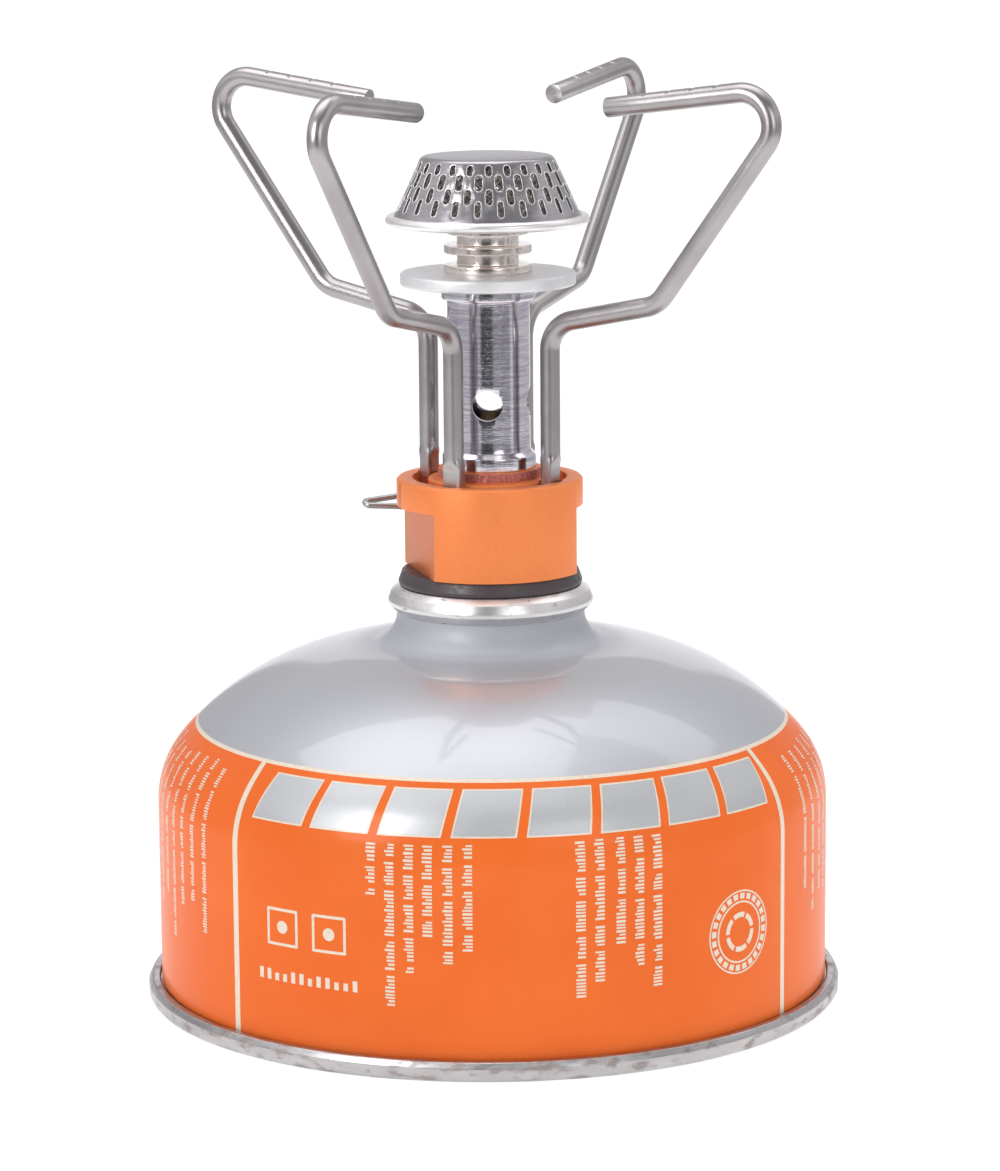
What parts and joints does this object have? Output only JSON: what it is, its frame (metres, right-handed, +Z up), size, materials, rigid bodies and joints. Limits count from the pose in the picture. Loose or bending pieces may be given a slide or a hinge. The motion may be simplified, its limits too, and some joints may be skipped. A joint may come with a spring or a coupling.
{
  "type": "camping stove",
  "caption": "Canister-top camping stove with folding wire pot supports and a perforated burner, screwed on its gas canister.",
  "frame": {"origin": "centre of the canister's bottom rim, on the surface it stands on", "axes": "+Z up along the canister and burner axis; the control bail is folded towards -X behind the body; the canister label's front faces -Y"},
  "size_m": [0.1108, 0.1108, 0.146],
  "materials": {
    "canister_lacquer": "gloss",
    "tinplate": "worn satin",
    "rubber": "matte",
    "orange_anodised": "satin anodised",
    "chrome": "polished",
    "stainless": "satin",
    "bare_aluminium": "matte",
    "nickel_brass": "nickel plated satin",
    "brass": "machined",
    "plastic": "moulded",
    "filter": "sintered"
  },
  "bodies": {
    "canister": {"canister_shell": "canister_lacquer", "canister_base": "tinplate", "valve_cup": "tinplate", "cup_seal": "rubber", "valve_housing": "plastic", "valve_spring": "stainless", "stem_gasket": "rubber"},
    "canister_valve": {"valve_stem": "plastic"},
    "stove_seal": {"base_gasket": "rubber"},
    "stove": {"stove_body": "orange_anodised", "inlet_oring": "rubber", "depressor_pin": "brass", "jet": "brass", "jet_filter": "filter", "packing_nut": "nickel_brass", "mixing_tube": "chrome", "heat_disc": "bare_aluminium", "burner_neck": "nickel_brass", "burner_pan": "stainless", "burner_cap": "stainless", "burner_screen": "stainless"},
    "spindle_seal": {"spindle_oring": "rubber"},
    "spindle": {"valve_spindle": "stainless"},
    "bail": {"control_bail": "stainless"},
    "support_1": {"pot_support_1": "stainless", "support_clip_1": "stainless"},
    "support_2": {"pot_support_2": "stainless", "support_clip_2": "stainless"},
    "support_3": {"pot_support_3": "stainless", "support_clip_3": "stainless"},
    "support_4": {"pot_support_4": "stainless", "support_clip_4": "stainless"}
  },
  "joints": [
    {"name": "unscrew_rise", "type": "slide", "parent": "canister", "child": "stove_seal", "axis": [0, 0, 1], "range_m": [0, 0.00144]},
    {"name": "unscrew_turn", "type": "hinge", "parent": "stove_seal", "child": "stove", "pos_m": [0, 0, 0.075], "axis": [0, 0, 1], "range_deg": [0, 570]},
    {"name": "canister_valve_lift", "type": "slide", "parent": "canister", "child": "canister_valve", "axis": [0, 0, 1], "range_m": [0, 0.00145], "deforming": ["valve_spring"]},
    {"name": "spindle_lift", "type": "slide", "parent": "stove", "child": "spindle_seal", "axis": [-0.2706, 0.9627, 0], "range_m": [0, 0.000883]},
    {"name": "flame_valve_turn", "type": "hinge", "parent": "spindle_seal", "child": "spindle", "pos_m": [-0.00622, 0.02214, 0.0757], "axis": [-0.2706, 0.9627, 0], "range_deg": [0, 530]},
    {"name": "bail_fold", "type": "hinge", "parent": "spindle", "child": "bail", "pos_m": [-0.00622, 0.02214, 0.0757], "axis": [0, 0, 1], "range_deg": [-186, 0]},
    {"name": "support_1_fold", "type": "hinge", "parent": "stove", "child": "support_1", "pos_m": [0.00957, -0.00553, 0.09], "axis": [0, 0, 1], "range_deg": [0, 95]},
    {"name": "support_2_fold", "type": "hinge", "parent": "stove", "child": "support_2", "pos_m": [-0.00553, -0.00957, 0.09], "axis": [0, 0, 1], "range_deg": [0, 95]},
    {"name": "support_3_fold", "type": "hinge", "parent": "stove", "child": "support_3", "pos_m": [-0.00957, 0.00553, 0.09], "axis": [0, 0, 1], "range_deg": [0, 95]},
    {"name": "support_4_fold", "type": "hinge", "parent": "stove", "child": "support_4", "pos_m": [0.00553, 0.00957, 0.09], "axis": [0, 0, 1], "range_deg": [0, 95]}
  ],
  "couplings": [
    {"joint": "unscrew_turn", "follows": "unscrew_rise", "rad_per_m": 6927.4},
    {"joint": "canister_valve_lift", "follows": "unscrew_rise", "ratio": 1},
    {"joint": "flame_valve_turn", "follows": "spindle_lift", "rad_per_m": 10472}
  ]
}
